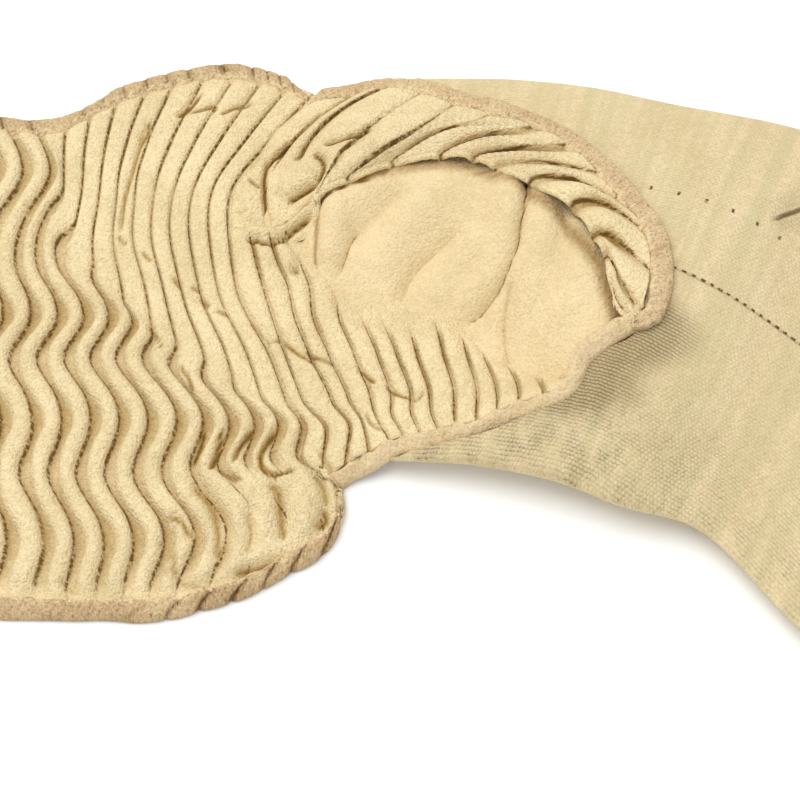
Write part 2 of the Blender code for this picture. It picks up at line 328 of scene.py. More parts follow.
def new_group(name, inputs, outputs):
    """An empty shader node group and its two ends. inputs gives the kind of each, and outputs are numbers."""
    group = bpy.data.node_groups.new(name, "ShaderNodeTree")
    for label, kind in inputs.items():
        group.interface.new_socket(label, in_out="INPUT", socket_type=f"NodeSocket{kind}")
    for label in outputs:
        group.interface.new_socket(label, in_out="OUTPUT", socket_type="NodeSocketFloat")
    return group, group.nodes.new("NodeGroupInput").outputs, group.nodes.new("NodeGroupOutput").inputs


def connect(value, socket):
    """Joins an output to an input, or sets the input to a plain value."""
    if isinstance(value, bpy.types.NodeSocket):
        value.id_data.links.new(value, socket)
    else:
        socket.default_value = value


def fill(sockets, values):
    """Joins or sets inputs, by their labels."""
    for label, value in values.items():
        connect(value, sockets[label])


def new_node(tree, kind, **values):
    """A shader node with its inputs joined or set."""
    node = tree.nodes.new(f"ShaderNode{kind}")
    fill(node.inputs, values)
    return node


def maths(operation, first, second=None):
    """One Math node. At least one of its inputs is a socket, and the other may be a number."""
    values = [value for value in (first, second) if value is not None]
    tree = next(value.id_data for value in values if isinstance(value, bpy.types.NodeSocket))
    node = new_node(tree, "Math")
    node.operation = operation
    for value, socket in zip(values, node.inputs):
        connect(value, socket)
    return node.outputs[0]


def plus(first, second):
    return maths("ADD", first, second)


def minus(first, second):
    return maths("SUBTRACT", first, second)


def times(first, second):
    return maths("MULTIPLY", first, second)


def noise(vector, scale, detail=2):
    node = new_node(vector.id_data, "TexNoise", Vector=vector, Scale=scale, Detail=detail, Roughness=0.6)
    return node.outputs[0]


def ramp(value, start, end):
    """0 before start, 1 past end, smooth between. Where start is the larger, it falls."""
    node = new_node(value.id_data, "MapRange", **{"Value": value, "From Min": start, "From Max": end})
    node.interpolation_type = "SMOOTHSTEP"
    return node.outputs[0]


def mixed(share, first, second):
    """A colour between two colours or sockets."""
    node = new_node(share.id_data, "Mix", Factor=share)
    node.data_type = "RGBA"
    for value, socket in zip((first, second), node.inputs[6:8]):
        connect(value, socket)
    return node.outputs[2]


def parts(vector):
    """x and y of a vector socket."""
    return new_node(vector.id_data, "SeparateXYZ", Vector=vector).outputs[0:2]


def joined(x, y):
    """A vector socket of x and y."""
    return new_node(x.id_data, "CombineXYZ", X=x, Y=y).outputs[0]


# Brushed yarn: fine pebbles of looped thread, and a change of tone that is part slow and part fine
brushed, brushed_in, brushed_out = new_group("brushed_knit", {"Vector": "Vector"}, ("Grain", "Tone", "Speck"))
yarn_place = brushed_in["Vector"]
pebbles = new_node(brushed, "TexVoronoi", Vector=yarn_place, Scale=1150).outputs["Distance"]
connect(plus(times(pebbles, -0.6), noise(yarn_place, 900, 3)), brushed_out["Grain"])
slow_and_quick = plus(times(noise(yarn_place, 55), 0.35), times(noise(yarn_place, 420), 0.25))
connect(plus(slow_and_quick, times(noise(yarn_place, 1500, 1), 0.4)), brushed_out["Tone"])
connect(minus(noise(yarn_place, 700), 0.5), brushed_out["Speck"])

# Shade painted as a dark line at the foot of each rib, broken up as the loops of thread cross it
rib_foot_shade, rib_lines_in, rib_lines_out = new_group("rib_foot_shade", {"Knit": "Vector"}, ("Line",))
rib_number, rib_way = parts(rib_lines_in["Knit"])
loop_place = joined(times(rib_number, 8), rib_way)
ragged = minus(noise(loop_place, 1, 3), 0.5)
from_line = maths("PINGPONG", plus(rib_number, times(ragged, 0.12)), 0.5)
line_left = ramp(noise(loop_place, 0.7, 3), 0.36, 0.54)
connect(times(ramp(from_line, 0.06, 0.015), line_left), rib_lines_out["Line"])


def placed(group, tree, **values):
    """Outputs of a group used in a material, with its inputs joined or set."""
    node = new_node(tree, "Group")
    node.node_tree = group
    fill(node.inputs, values)
    return node.outputs


def yarn_on(tree):
    """The brushed yarn's outputs, for a piece."""
    return placed(brushed, tree, Vector=new_node(tree, "TexCoord").outputs["Object"])


def groove_on(tree):
    """How much painted shade each place of a piece has, most in its grooves and creases; on the overlocks it
    also holds the thread's dark specks.
    """
    node = new_node(tree, "Attribute")
    node.attribute_name = "groove"
    return node.outputs["Fac"]


def knit_on(tree):
    """The knit coordinates of a piece."""
    node = new_node(tree, "UVMap")
    node.uv_map = "knit"
    return node.outputs[0]


def matt_cloth(name, roughness, specular, sheen, light):
    """A new material, its node tree and its shader's inputs. Its fuzz takes the tint of the light yarn."""
    material = bpy.data.materials.new(name)
    material.use_nodes = True
    shader = material.node_tree.nodes["Principled BSDF"].inputs
    fill(shader, {"Roughness": roughness, "Specular IOR Level": specular})
    fill(shader, {"Sheen Weight": sheen, "Sheen Roughness": 0.6, "Sheen Tint": light})
    return material, material.node_tree, shader


def finish_cloth(shader, colour, height, distance):
    """Gives a shader its colour, and a bump of a height over a distance in millimetres."""
    bump = new_node(colour.id_data, "Bump", Strength=0.9, Distance=distance * MM, Height=height)
    fill(shader, {"Normal": bump.outputs["Normal"], "Base Color": colour})


def yarn_material(name, colours, bump, sheen=0.25, line=None, inner_side=None):
    """Matt knit of light and shaded tones, which change at random, and a deep colour for the shade painted
    into grooves and creases and for the yarn's specks, bumped by its grain. line is the colour of the shade
    painted at the foot of each rib and deepest in the grooves, and inner_side the colour into which a bound
    edge fades at its inner side."""
    light, shaded, deep = colours
    material, tree, shader = matt_cloth(name, 0.92, 0.15, sheen, light)
    yarn, groove = yarn_on(tree), groove_on(tree)
    # Painted shade: where the groove share is high, with the yarn's specks, the deep colour is mixed in
    shade_and_specks = times(plus(groove, times(yarn["Speck"], 0.5)), ramp(groove, 0.02, 0.3))
    tone = mixed(ramp(yarn["Tone"], 0.38, 0.62), shaded, light)
    colour = mixed(ramp(shade_and_specks, 0.1, 1.3), tone, deep)
    if line:
        # Shade painted as a dark line at the foot of each rib, and where the painted shade is deepest
        rib_foot = times(placed(rib_foot_shade, tree, Knit=knit_on(tree))["Line"], ramp(groove, 0.1, 0.5))
        colour = mixed(maths("MAXIMUM", rib_foot, ramp(shade_and_specks, 0.95, 1.75)), colour, line)
    if inner_side:
        knit = knit_on(tree)
        way_out = plus(parts(knit)[1], times(yarn["Speck"], 6))
        colour = mixed(ramp(way_out, 0.4, 2.6), inner_side, colour)
        strokes = times(ramp(noise(knit, 1.1), 0.55, 0.68), ramp(way_out, 0, 2.5))
        colour = mixed(times(strokes, 0.5), colour, deep)
    finish_cloth(shader, colour, yarn["Grain"], bump)
    return material


def rib_x(rib, y):
    """x of a rib of the back panel at a height y, before the wave."""
    sixth, eleventh, last = read(RIB_LINES, y)
    near = np.abs(rib)
    inner = sixth * near / 6
    middle = sixth + (eleventh - sixth) * (near - 6) / 5
    outer = eleventh + (last - eleventh) * (near - 11) / 5
    return np.sign(rib) * np.where(near <= 6, inner, np.where(near <= 11, middle, outer))


def wave_share(x, y):
    """How fully the ribs wave: 0 where they run straight to the neck and the shoulders."""
    out = np.abs(x)
    return smooth_step((read(WAVE_TOP, out)[0] - y) / read(WAVE_FADE, out)[0])


def wave(rib, x, y):
    """The sideways wave of the ribs."""
    size = WAVE * (1 + 0.2 * uneven(rib * 4, y, 30, 3))
    bend = read(BENDS[::-1], y + 2 * uneven(x, y, 40, 8))[0]
    return np.sign(rib) * size * wave_share(x, y) * bend


def panel_ends(rib):
    """y of the neck edge and of the hem at a rib, read at the rib's x near each of them."""
    near_neck = np.full(np.shape(rib), 115.0)
    near_hem = -60 + 25 * smooth_step((np.abs(rib) - 12) / 4)
    return read(NECK, np.abs(rib_x(rib, near_neck)))[0], read(HEM, np.abs(rib_x(rib, near_hem)))[0]


# Folds of the panel's right half, mirrored on its left, with the shade painted along them, in the rows that
# creases() takes
PANEL_CREASES = (
    (1.8, 1.2, 1.7, (100, 113, 97, 108, 93, 104)), (1.6, 1.2, 1.4, (97, 106, 101, 107, 105, 109)),
    (1.6, 1.1, 1.6, (105, 109, 105, 106)), (1.6, 1.1, 1.5, (107, 105, 112, 108, 117, 109)),
    (1.6, 1.1, 1.4, (84, 102, 84, 98, 82, 93)), (1.4, 1.1, 1.3, (83, 99, 80.5, 84, 78.5, 71, 78, 58)),
    (
        0.9, 1.3, 1.2, (77.5, 57, 79, 55, 80.5, 54), (85.5, 51, 87, 49, 88.5, 47.5),
        (95.5, 41.5, 97, 39, 98.5, 38), (101, 38, 103, 37, 104, 36), (104.5, 34, 106, 32, 107.5, 31),
        (109, 30, 111, 29, 113, 28), (120, 26, 123, 23, 125, 21.5),
    ),
    (1.0, 1.1, 1.3, (89, 24, 92, 20, 94, 15), (99, 10, 102, 6, 104, 1)),
    (
        2.0, 1.3, 1.7, (108, -11, 107, -17, 105, -23), (113, -12, 112, -20, 110, -26),
        (122, -12, 118, -19, 117, -23),
    ),
    (2.4, 1.4, 1.7, (129, -12, 125, -19, 125, -24, 129, -27, 135, -25)),
    (2.0, 1.5, 1.3, (112, -24, 116, -27, 120, -29)),
    (3.0, 1.8, 1.15, (105, -30, 110, -35, 113, -42, 114, -54)),
    (2.4, 1.4, 1.3, (99, -40, 103, -42, 106, -47)), (2.4, 1.6, 1.0, (97, -48, 101, -52, 102, -58)),
    (3.0, 1.8, 1.15, (127, -29, 130, -32, 131, -38, 132, -48)),
    (2.4, 1.5, 1.1, (140, -26, 143, -31, 144, -37)), (1.8, 1.4, 0.9, (122, -40, 123, -47, 122, -53)),
    (-2.2, 3.6, 0, (108, -29, 117, -31, 119, -39, 118, -52)),
    (-1.6, 3.0, 0, (120, -33, 126, -38, 127, -48)),
    (-2.2, 3.4, 0, (130, -28, 137, -31, 138, -38, 138, -46)),
    (-1.4, 3.0, 0, (112, -57, 120, -55, 128, -51)), (2.2, 1.5, 1.4, (119, -58, 126, -56, 132, -54)),
    (2.0, 1.5, 1.4, (143, -38, 144, -41, 141, -44)), (2.0, 1.5, 1.2, (148, -31, 150, -33)),
    (1.4, 1.4, 0.9, (100, -55, 104, -60, 110, -62)), (1.2, 1.2, 0.9, (70, -60, 74, -63)),
)
LOBE_X, LOBE_Y = 112, -21  # past and below these the hem's ends puff up to smooth lobes
LOBE_HEIGHT = 2.6
HEM_HEIGHT = 0.9  # height to which the ribs flatten out along the hem
STRAIGHT_RELIEF = 0.58  # share of the relief where the ribs run straight
FLAT_TOP, ROUND_TOP = 5.5, 2.6  # powers of a rib's section, where it runs straight and where it waves
FAN_SHADE = 0.62  # darkness of the grooves between straight ribs


def lay_panel(u, v):
    """The panel's cloth. u runs from the left armhole to the right one, and v from hem to neck edge."""
    from_centre = np.where(u < LEFT_SHARE, u / LEFT_SHARE - 1, (u - LEFT_SHARE) / (1 - LEFT_SHARE))
    rib = spread_columns(from_centre * (RIBS + TUCK))
    neck, hem = panel_ends(rib)
    low, high = hem + COVERED, neck - COVERED
    y = low + (high - low) * v
    # Below the armhole the tucked ribs stop at the last one
    beyond = np.maximum(np.abs(rib) - RIBS, 0) * smooth_step((y + 24) / 20)
    x = rib_x(np.sign(rib) * (np.minimum(np.abs(rib), RIBS) + beyond), y)
    waving = wave_share(x, y)
    share, darkness = read(VALLEYS, y + 2 * uneven(x, y, 40, 8))
    gap = FAN_GAP + (share * (1 + 0.25 * uneven(rib * 5, y, 14, 5)) - FAN_GAP) * waving
    profile, past = rib_profile(rib, gap, FLAT_TOP + (ROUND_TOP - FLAT_TOP) * waving)
    x = x + wave(rib, x, y) + 0.7 * uneven(rib * 6, y, 16, 15)
    out = np.abs(x)
    at_edge = smooth_step((y - low) / 9) * smooth_step((high - y) / 7)
    near_hem = falloff(y - low, 1, 7)
    lobes = onset(out, LOBE_X, 14) * smooth_step((LOBE_Y - y) / 6)
    relief = RELIEF * (STRAIGHT_RELIEF + (1 - STRAIGHT_RELIEF) * waving) * (1 - 0.85 * lobes)
    relief = relief * (1 + 0.16 * uneven(rib * 8, y, 26, 6)) * (0.3 + 0.7 * at_edge)
    plateau = LOBE_HEIGHT * lobes * (1 - near_hem) + HEM_HEIGHT * near_hem
    depth, dark = creases(out, y, PANEL_CREASES)
    rise = relief * profile * (1 - 0.6 * near_hem) + plateau - depth
    tucked = smooth_step((np.abs(rib) - RIBS) / 0.3)
    z = GROOVE + np.maximum(rise, 0) * (1 - tucked)
    # Shade painted into the valleys between ribs and along the creases, fainter on the lobes and along the
    # hem
    fan_shade = FAN_SHADE + 0.45 * uneven(rib * 7, y, 18, 16)
    valley = (1 - profile) * (fan_shade + (darkness * (1 - 0.45 * past) - fan_shade) * waving)
    groove = np.maximum(valley * (1 - 0.92 * lobes) * (1 - 0.7 * near_hem), dark)
    return x, y, z, groove, np.abs(rib) + gap * (1 - VALLEY_OUT), y


# The brown of the shade painted at the foot of the ribs; each yarn's deep colour is painted into its grooves
# and creases as shade, with the yarn's specks
groove_shade_brown = paint(112, 78, 24)
ribbed_colours = paint(242, 222, 178), paint(222, 201, 154), paint(178, 147, 88)
ribbed_yarn = yarn_material("ribbed_yarn", ribbed_colours, 0.95, line=groove_shade_brown)
back_panel = cloth_grid("back_panel_knit", 268, 180, lay_panel, [ribbed_yarn], RIB_WALL)
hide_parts("back_panel")

# ---------------------------------------------------------------- sleeves
# Each sleeve is a tube of fine plain knit, brushed soft inside. It lies flat and a little full, with its
# front layer up. Its mouth is knitted on to the back panel and the bands, and its underarm seam shows as a
# line of small holes along the front.

SLEEVE_WALL = 1.7
# Right sleeve. Columns: way along, centre x, centre y, turn in degrees, width, height
SLEEVE = (
    (112, 112, 60, 0, 120, 5), (136, 136, 47, 0, 139, 10), (165, 165, 46, -3, 140, 16),
    (200, 200, 42, -12, 141, 24), (235, 234, 33, -20, 141, 27), (260, 259, 25, -24, 148, 25),
    (290, 286, 13, -27, 151, 19), (335, 325, -22, -32, 149, 14), (400, 380, -57, -34, 124, 13),
    (460, 430, -91, -34, 98, 12), (505, 468, -116, -34, 78, 11),
)
LOW = 0.42  # height of a sleeve's side folds, as a share of its own height
CUFF_START, CUFF_END = 478, 505
# Sleeve mouth. Columns: degrees round the section from the upper fold, way along
MOUTH = (
    (-180, 168), (-160, 160), (-140, 150), (-120, 138), (-105, 126), (-90, 121), (-75, 124), (-60, 131),
    (-45, 143), (-30, 156), (-15, 161), (0, 162), (15, 165), (30, 170), (50, 179), (62, 188), (72, 203),
    (85, 225), (94, 234), (104, 242), (112, 242), (120, 233), (133, 230), (144, 216), (154, 202),
    (164, 177), (172, 170), (180, 168),
)
# Columns: side, sign of x, droop in degrees
ARMS = (("right", 1, 0.0), ("left", -1, 3.0))
DROOP_FROM, DROOP_LENGTH = 262, 60  # the left arm hangs lower than the right one past here
WALES_DRIFT = 7  # how far the knit turns on the sleeve between 235 and 295 along it
FLAT_WIDTH = 140  # the knit's own width across one layer
INSIDE_START, INSIDE_END = 133, 262  # the back layer shows in the armhole between these
DRAWN_IN, DRAWN_AT, DRAWN_LENGTH = 5.5, 286, 24  # the lower fold is drawn in here by its seam
# Shade painted under the armhole's rim, darkest in the gaps between the wales
RIM_SHADE, RIM_SHADE_LENGTH = 1.3, 28  # dark gaps between the wales under the armhole's rim


def sleeve_point(along, angle, arm, draw=1.0):
    """Points of the outer face of a sleeve, in its own place on the table. draw is the share of its width."""
    _, sign, droop = arm
    x, y, turn, width, height = read(SLEEVE, along)
    turn = np.radians(turn)
    across = width / 2 * draw * np.cos(angle)
    x = x - np.sin(turn) * across
    y = y + np.cos(turn) * across
    hinge_x, hinge_y = read(SLEEVE, np.array(float(DROOP_FROM)))[:2]
    fall = np.radians(-droop) * onset(along, DROOP_FROM, DROOP_LENGTH)
    away_x, away_y = x - hinge_x, y - hinge_y
    x = hinge_x + away_x * np.cos(fall) - away_y * np.sin(fall)
    y = hinge_y + away_x * np.sin(fall) + away_y * np.cos(fall)
    z = height * (LOW + (1 - LOW) * np.sin(angle))
    return sign * x, y, np.maximum(z, 0)


# Inner edge of the right shoulder band, under which the sleeve's back layer stands up. Columns: x, y
CREST = ((139, 68), (148, 72), (161, 76), (184, 74), (199, 65), (210, 54), (217, 43), (224, 30), (228, 12))
# Soft folds of the front layer, and of the back layer where it shows in the armhole, with the shade painted
# along them
FRONT_FOLDS = (
    (2.4, 5.5, 0.25, (279, 46, 286, 51, 300, 57)), (-1.6, 5, 0, (276, 53, 284, 59, 298, 65)),
    (-1.5, 12, 0, (250, 75, 275, 72, 300, 62)), (1.2, 10, 0, (300, 20, 318, -8, 330, -40)),
    (1.0, 14, 0, (340, 20, 352, -20, 362, -60)), (-1.0, 12, 0, (372, 0, 384, -40, 392, -90)),
    (1.0, 10, 0, (405, -20, 414, -60, 416, -100)),
)
INNER_FOLDS = (
    (-3.4, 4.5, 0, (199, 84, 198.5, 62, 196.5, 46, 190, 36, 182, 30)),
    (3.0, 1.3, 1.1, (204, 84, 203.5, 64, 202.5, 56, 200.5, 43.5, 197, 37, 192, 29, 184.5, 24.5)),
    (-2.2, 5, 0, (210, 70, 208, 50, 204, 34, 203, 20)),
    (2.0, 2.0, 0.6, (200, 36, 197.5, 27, 196.8, 19, 198, 6)), (1.2, 1.5, 0.5, (178, 23, 184, 24.5)),
    (1.6, 1.6, 1.5, (140.5, 70, 140.5, 60, 140, 50, 139.5, 42)),
    (1.4, 1.2, 1.3, (140, 65, 147, 69.5, 154, 72, 162, 74)), (3.2, 5, 0.4, (150, 54, 157, 61, 166, 69)),
    (1.8, 1.5, 0.8, (151, 56, 149, 50, 146.5, 42)), (-2.6, 6, 0, (174, 66, 164, 54, 157, 42)),
    (-2.0, 4, 0, (145, 66, 144, 56, 142, 46)),
    (2.2, 2.4, 0.5, (184, 54, 175, 48, 169.5, 43, 166, 36, 164, 30)),
    (-2.4, 5, 0, (190, 52, 181, 42, 174, 33)), (-1.8, 6, 0, (222, 50, 219, 34, 212, 18)),
    (1.4, 3, 0.25, (214, 58, 213, 40, 206, 22)),
)


def sleeve_relief(x, y, along, angle):
    """How far the cloth of a sleeve stands up from its plain tube, and the darkness of the shade painted in
    its creases and under the band's crest.
    """
    front = smooth_step(np.sin(angle) * 2.5)
    shown = smooth_step((INSIDE_END - along) / 30) * onset(along, INSIDE_START, 12)
    inside = smooth_step(-np.sin(angle) * 2.5) * shown
    slack = 0.9 * uneven(x, y, 26, 11) + 0.45 * uneven(x, y, 11, 12)
    folds, fold_shade = creases(x, y, FRONT_FOLDS)
    inner, inner_shade = creases(x, y, INNER_FOLDS)
    far, _ = way_to_line(x, y, CREST)
    half_height = read(SLEEVE, along)[4] * (1 - LOW) * np.maximum(-np.sin(angle), 0)
    swell = 1.4 * bell(far, 24) * half_height
    # Shade painted on the back layer just under the band's crest
    inner_shade = np.maximum(inner_shade, 0.95 * bell(far, 2.6))
    lift = front * (slack - folds) + inside * np.maximum(swell + 0.8 + 0.5 * slack - inner, 0)
    return lift, np.maximum(front * fold_shade, inside * inner_shade)


def lay_sleeve(arm, u, v):
    """A sleeve's cloth. u runs round it from its lower fold, back layer first, and v from mouth to cuff."""
    turned = math.tau * (u - 0.5)
    angle = turned + 0.3 * np.sin(2 * turned)
    start = read(MOUTH, np.degrees(angle))[0]
    along = start + (CUFF_START - start) * v**1.35
    x, y, z = sleeve_point(along, angle, arm)
    right_x, right_y, _ = sleeve_point(along, angle, ARMS[0])
    at_lower_fold = smooth_step(-np.cos(angle) * 1.6 - 0.6)
    y = y + DRAWN_IN * bell(along - DRAWN_AT, DRAWN_LENGTH) * at_lower_fold
    lift, groove = sleeve_relief(right_x, right_y, along, angle)
    # Shade painted on the front layer just below the armhole's rim, fading away from the mouth
    below_rim = onset(angle, 1.65, 0.2) * smooth_step((2.7 - angle) / 0.5)
    rim_shade = RIM_SHADE * below_rim * smooth_step(1 - (along - start) / RIM_SHADE_LENGTH)
    knit_x = FLAT_WIDTH / 2 * np.sign(angle) * (1 - np.cos(angle))
    knit_x = knit_x - WALES_DRIFT * onset(along, 235, 60)
    return x, y, np.maximum(z + lift, 0), np.maximum(groove, rim_shade), knit_x, along


# Plain knit outside: rows of little stitches lengthwise, with gaps between them where the cloth is stretched
stitches, stitches_in, stitches_out = new_group(
    "plain_stitches",
    {"Knit": "Vector", "Wale": "Float", "Course": "Float"},
    ("Height", "Gap", "Band", "Seam", "Between"),
)
stitch_place = stitches_in["Knit"]
knit_across, knit_along = parts(stitch_place)
wander = times(minus(noise(stitch_place, 0.25), 0.5), 1.1)
# Columns of stitches, each set half a stitch on from the one beside it
wales = maths("DIVIDE", plus(knit_across, wander), stitches_in["Wale"])
courses = maths("DIVIDE", plus(knit_along, wander), stitches_in["Course"])
courses = plus(courses, times(maths("FLOOR", wales), 0.5))
across_leg = maths("ABSOLUTE", maths("SINE", times(wales, math.pi)))
along_leg = plus(times(maths("COSINE", times(courses, math.tau)), 0.5), 0.5)
leg = times(across_leg, plus(times(along_leg, 0.6), 0.4))
between = maths("POWER", minus(1, leg), 3)
connect(between, stitches_out["Between"])
speckle = noise(stitch_place, 0.9)
# The knit is stretched towards the underarm and the sleeve's mouth
near_underarm = times(ramp(knit_across, 92, 138), 0.5)
stretched = times(near_underarm, plus(ramp(knit_along, 290, 240), 0.8))
stretched = plus(times(stretched, ramp(noise(stitch_place, 0.12), 0.3, 0.7)), 0.2)
connect(times(leg, plus(stretched, 0.2)), stitches_out["Height"])
connect(times(times(between, ramp(speckle, 0.35, 0.75)), stretched), stitches_out["Gap"])
connect(noise(joined(times(knit_across, 0.006), times(knit_along, 0.24)), 1), stitches_out["Band"])

DASH_BLUR = 0.35


def seam_dashes(at, pitch, length, start, reach=0.25):
    """Dashes of a seam that runs lengthwise at one place across the knit, past a start along it. Each reaches
    as far as reach to both sides."""
    off_seam = plus(maths("ABSOLUTE", minus(knit_across, at)), times(wander, 0.5))
    place = maths("PINGPONG", plus(knit_along, times(wander, 1.2)), pitch / 2)
    dash = times(ramp(place, length / 2 + 0.2, length / 2 - 0.2), ramp(speckle, 0.2, 0.5))
    dash = times(ramp(off_seam, reach + DASH_BLUR, reach), dash)
    return times(dash, ramp(knit_along, start, start + 2))


# The underarm seam, the small holes of a shaping line above it, and the thread that joins the seam's dashes
seams = maths("MAXIMUM", seam_dashes(70, 2.8, 1.3, 243), seam_dashes(43.5, 7.5, 0.7, 228, 0.55))
seams = maths("MAXIMUM", seams, times(seam_dashes(70.3, 2.8, 2.8, 243), 0.35))
# Shade painted along a sharp crease of the front layer that slants across the knit
CREASE_SLANT, CREASE_PLACE, CREASE_SHADE = 1.42, 416.6, 0.85
slanted = plus(knit_across, times(knit_along, CREASE_SLANT))
off_crease = maths("ABSOLUTE", minus(slanted, CREASE_PLACE))
crease = times(ramp(off_crease, 1.5, 0.4), ramp(knit_along, 264.5, 268))
crease = times(times(crease, ramp(knit_along, 284, 274)), CREASE_SHADE)
connect(maths("MAXIMUM", seams, crease), stitches_out["Seam"])


def plain_knit_material(name, colours, deep):
    """Plain knit: two close tones in bands across the sleeve, darker gaps, fine stitches, and painted shade
    from the groove share, strongest between the wales.
    """
    light, shaded, greenish = colours
    material, tree, shader = matt_cloth(name, 0.9, 0.18, 0.15, light)
    stitch = placed(stitches, tree, Knit=knit_on(tree), Wale=1.05, Course=1.45)
    yarn = yarn_on(tree)
    banded = mixed(ramp(stitch["Band"], 0.35, 0.65), greenish, light)
    toned = mixed(ramp(yarn["Tone"], 0.3, 0.7), shaded, banded)
    holes_and_crease_shade = mixed(maths("MAXIMUM", stitch["Gap"], stitch["Seam"]), toned, deep)
    between_wales = plus(times(stitch["Between"], 0.6), 0.32)
    # Painted shade from the groove share darkens the colour, most between the wales
    colour = mixed(times(ramp(groove_on(tree), 0, 1), between_wales), holes_and_crease_shade, deep)
    height = plus(stitch["Height"], times(yarn["Grain"], 0.5))
    finish_cloth(shader, colour, minus(height, times(stitch["Seam"], 0.5)), 0.6)
    return material


# The sleeve's deep colour is for its stitch gaps and seam holes, and for the shade painted in its folds,
# along its slanting crease and under the armhole's rim
plain_colours = paint(233, 213, 173), paint(206, 186, 142), paint(212, 199, 154)
plain_yarn = plain_knit_material("plain_yarn", plain_colours, paint(92, 66, 26))
# The deep colour inside is the shade painted in the armhole's creases and under the band's crest
inner_colours = paint(234, 213, 170), paint(218, 196, 150), paint(140, 102, 40)
inner_yarn = yarn_material("brushed_inside", inner_colours, 0.55)

for arm in ARMS:
    sides = [plain_yarn, inner_yarn]
    name, lay = f"sleeve_knit_{arm[0]}", partial(lay_sleeve, arm)
    tube = cloth_grid(name, 160, 210, lay, sides, SLEEVE_WALL, seam=True)
    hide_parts(f"sleeve_{arm[0]}")

# ---------------------------------------------------------------- shoulder bands
# The end of each rib field turns back over the armhole's upper side and lies on the sleeve. Its crest is a
# row of soft puffs, and its outer side carries the overlocked cut edge.

# Columns: groove, inner x, y, middle x, y, outer x, y. Groove 0 is the last one of the panel
BAND = (
    (1, 121, 54, 126, 84, 147, 110), (2, 130, 54, 136, 88, 159, 110), (2.5, 138.5, 58, 142, 86, 165, 107),
    (3, 139.5, 67, 151, 86, 172, 104), (4, 149, 72, 163, 82, 182, 97), (5, 163, 76.5, 177, 84.5, 193, 91),
    (6, 178, 77, 191, 81, 206, 83), (7, 188, 74, 200, 74, 216, 74), (8, 195, 69, 209, 68, 224, 63),
    (9, 205, 62, 217, 60, 230, 52), (10, 217, 51, 226, 50, 236, 41), (11, 222.5, 40, 229, 36, 237.5, 26),
    (12, 225.8, 32, 229.2, 22, 233.5, 12), (13, 226.2, 22, 228, 15, 231.8, 11),
    (14, 227, 12, 228.8, 11, 230.6, 10.5),
)
BESIDE_PANEL = (57, 84, 110)  # y of the inner, middle and outer points of groove 0
BAND_RIBS = 13.6
BAND_RISE = 3  # ribs over which the band climbs from the panel on to the sleeve
FOLD_AIR = 0.6  # air between the band and the sleeve
sections = np.arange(SLEEVE[0][0], CUFF_START, 2.0)
section_x, section_y, section_turn, section_width, section_height = read(SLEEVE, sections)
section_turn = np.radians(section_turn)


def sleeve_layers(x, y):
    """Heights of a sleeve's lower and upper outer faces over places on the table."""
    away_x = x[:, None] - section_x
    away_y = y[:, None] - section_y
    ahead = np.abs(away_x * np.cos(section_turn) + away_y * np.sin(section_turn))
    nearest = np.argmin(ahead + 0.02 * np.hypot(away_x, away_y), axis=1)
    picked = np.arange(len(x)), nearest
    across = -away_x[picked] * np.sin(section_turn[nearest]) + away_y[picked] * np.cos(section_turn[nearest])
    share = np.clip(across / (section_width[nearest] / 2), -1, 1)
    swell = (1 - LOW) * np.sqrt(1 - share**2)
    height = section_height[nearest]
    return np.maximum(height * (LOW - swell), 0), height * (LOW + swell)


def along_fold(row, v):
    """A point at v along a fold whose row gives three points."""
    ends = 2 * (v - 0.5) * (v - 1), 4 * v * (1 - v), 2 * v * (v - 0.5)
    return (
        sum(share * value for share, value in zip(ends, row[0:6:2])),
        sum(share * value for share, value in zip(ends, row[1:6:2])),
    )


last_rib_x = rib_x(np.full(len(BESIDE_PANEL), float(RIBS)), np.array(BESIDE_PANEL, float))
BAND_START = np.stack((last_rib_x, BESIDE_PANEL), axis=-1).ravel()[:, None]


def band_row(rib):
    """Rows of BAND at any groove. Before groove 1 they run in from beside the panel's last rib."""
    first = np.array(BAND[0][1:], float)[:, None]
    return np.where(rib < 1, BAND_START + (first - BAND_START) * rib, read(BAND, np.maximum(rib, 1)))


def across_from(point_at, rib, v, side):
    """Unit direction across the surface, away from the folds at their end v."""
    before, after = point_at(np.maximum(rib - 0.15, 0), v), point_at(rib + 0.15, v)
    step_x, step_y = after[0] - before[0], after[1] - before[1]
    length = np.maximum(np.hypot(step_x, step_y), 1e-6)
    return -side * step_y / length, side * step_x / length


def band_point(rib, v):
    """x and y at v across the band."""
    return along_fold(band_row(rib), v)


def band_base(rib, x, y):
    """Height at which the band lies."""
    return smooth_step(rib / BAND_RISE) * (sleeve_layers(x, y)[1] + FOLD_AIR)


ROLL = 0.2  # share of the band's rows that turn under at the crest
ROLL_SIZE, ROLL_TURN = 1.4, math.radians(150)
BAND_RELIEF = 3.2
BUNCH_END = 2.4  # up to this rib the cloth bunches up beside the armhole
BAND_FADE = 12.7  # from this rib on the band flattens out into the gusset
